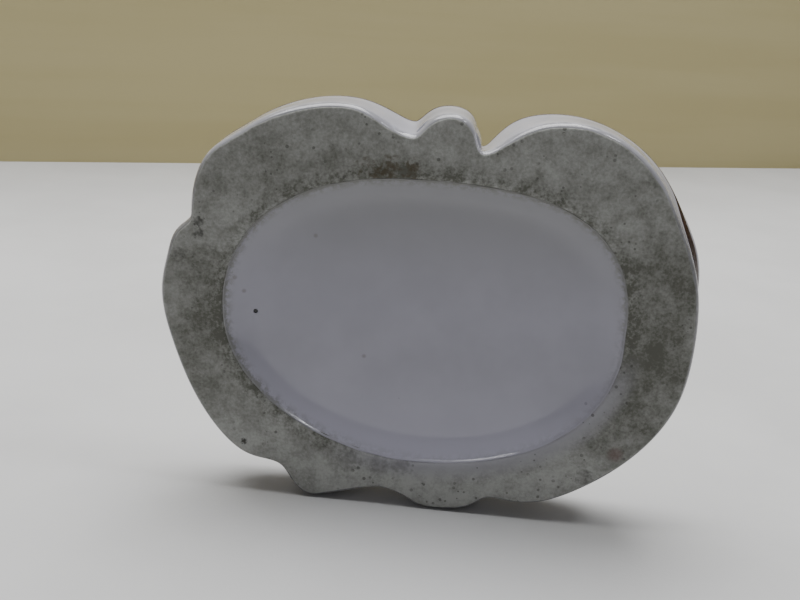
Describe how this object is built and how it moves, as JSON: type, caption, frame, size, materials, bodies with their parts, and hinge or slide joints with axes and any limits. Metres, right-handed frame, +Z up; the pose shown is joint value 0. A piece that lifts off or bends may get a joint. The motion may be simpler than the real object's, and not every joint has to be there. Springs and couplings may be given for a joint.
{
  "type": "mixing palette",
  "caption": "Butterfly-shaped glazed porcelain palette with mixing wells on one side and a flat unglazed foot with an oval recess on the other, standing on its lower edge",
  "frame": {"origin": "on the surface the palette stands on, at the middle of its bounding box in X and Y", "axes": "+Z up, towards the butterfly's head as it stands on its lower edge; -Y out of the flat unglazed foot; +Y out of the mixing wells; +X to the right seen from the foot side"},
  "size_m": [0.094, 0.013, 0.0727],
  "materials": {
    "biscuit_clay": "unglazed, matt, stained grey",
    "white_glaze": "glossy white glaze",
    "recess_glaze": "glossy cool white glaze",
    "well_glaze": "glossy white glaze",
    "olive_glaze": "glossy olive glaze",
    "brown_glaze": "glossy brown glaze",
    "brown_enamel": "satin brown enamel"
  },
  "bodies": {
    "root": {"foot_ring": "biscuit_clay", "tray_body": "white_glaze", "head_knob": "white_glaze", "rim_line": "brown_enamel", "recess_glaze": "recess_glaze", "deck_glaze": "olive_glaze", "thorax": "brown_glaze", "abdomen": "brown_glaze", "antenna_left": "brown_enamel", "antenna_right": "brown_enamel", "well_glaze_upper_left": "well_glaze", "well_glaze_upper_right": "well_glaze", "well_glaze_lower_left": "well_glaze", "well_glaze_lower_right": "well_glaze"}
  },
  "joints": []
}
